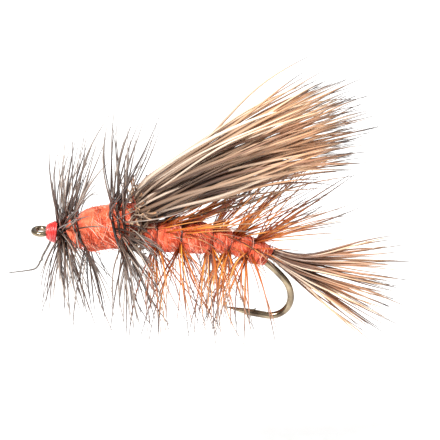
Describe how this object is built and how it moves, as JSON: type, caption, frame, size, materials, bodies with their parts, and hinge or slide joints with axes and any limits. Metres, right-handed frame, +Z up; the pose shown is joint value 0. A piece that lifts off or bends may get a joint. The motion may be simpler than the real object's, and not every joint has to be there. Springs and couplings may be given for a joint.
{
  "type": "dry fly",
  "caption": "Floating fishing fly: curved hook, thread head, wound feather hackles, segmented fur body, swept hair wing and fanned hair tail.",
  "frame": {"origin": "centre of the hook eye", "axes": "+X along the shank from the eye towards the bend, +Z up through the eye's hole, wing side"},
  "size_m": [0.0359, 0.021, 0.0268],
  "materials": {
    "hook_steel": "bronzed and lacquered wire",
    "tying_thread_orange": "waxed tying thread",
    "head_thread_red": "tight glossy thread turns",
    "head_varnish": "clear varnish film",
    "abdomen_dubbing": "coral orange spun fur",
    "thorax_dubbing": "bright orange spun fur",
    "ginger_quill": "feather stem",
    "grizzly_quill": "feather stem",
    "ginger_barbs": "glossy feather barbs",
    "grizzly_barbs": "glossy feather barbs",
    "tail_hair": "hollow body hair, dark root and tan tip",
    "wing_hair": "hollow body hair, taupe with dark tips"
  },
  "bodies": {
    "fly": {"abdomen_dubbing": "abdomen_dubbing", "body_hackle_quill": "ginger_quill", "body_hackle_turn_1": "ginger_barbs", "body_hackle_turn_2": "ginger_barbs", "body_hackle_turn_3": "ginger_barbs", "body_hackle_turn_4": "ginger_barbs", "body_hackle_turn_5": "ginger_barbs", "front_hackle_quill": "grizzly_quill", "front_hackle_turn_1": "grizzly_barbs", "front_hackle_turn_2": "grizzly_barbs", "front_hackle_turn_3": "grizzly_barbs", "front_hackle_turn_4": "grizzly_barbs", "front_hackle_turn_5": "grizzly_barbs", "front_hackle_turn_6": "grizzly_barbs", "front_hackle_turn_7": "grizzly_barbs", "front_hackle_turn_8": "grizzly_barbs", "head_cement": "head_varnish", "head_thread": "head_thread_red", "hook": "hook_steel", "stray_quill": "grizzly_quill", "tail_butts": "tail_hair", "tail_wraps": "tying_thread_orange", "thorax_dubbing": "thorax_dubbing", "thread_underwrap": "tying_thread_orange", "whip_finish": "head_thread_red", "wing_butts": "wing_hair", "wing_wraps": "tying_thread_orange"},
    "wing": {"wing_hair": "wing_hair"},
    "tail": {"tail_hair": "tail_hair"}
  },
  "joints": [
    {"name": "wing_flex", "type": "hinge", "parent": "fly", "child": "wing", "pos_m": [0.00885, 0, 0.00265], "axis": [0, -1, 0], "range_deg": [-4, 10], "stiffness_Nm_per_rad": 0.002},
    {"name": "tail_flex", "type": "hinge", "parent": "fly", "child": "tail", "pos_m": [0.0208, 0, -0.00113], "axis": [0, -1, 0], "range_deg": [-6, 6], "stiffness_Nm_per_rad": 0.0006}
  ]
}
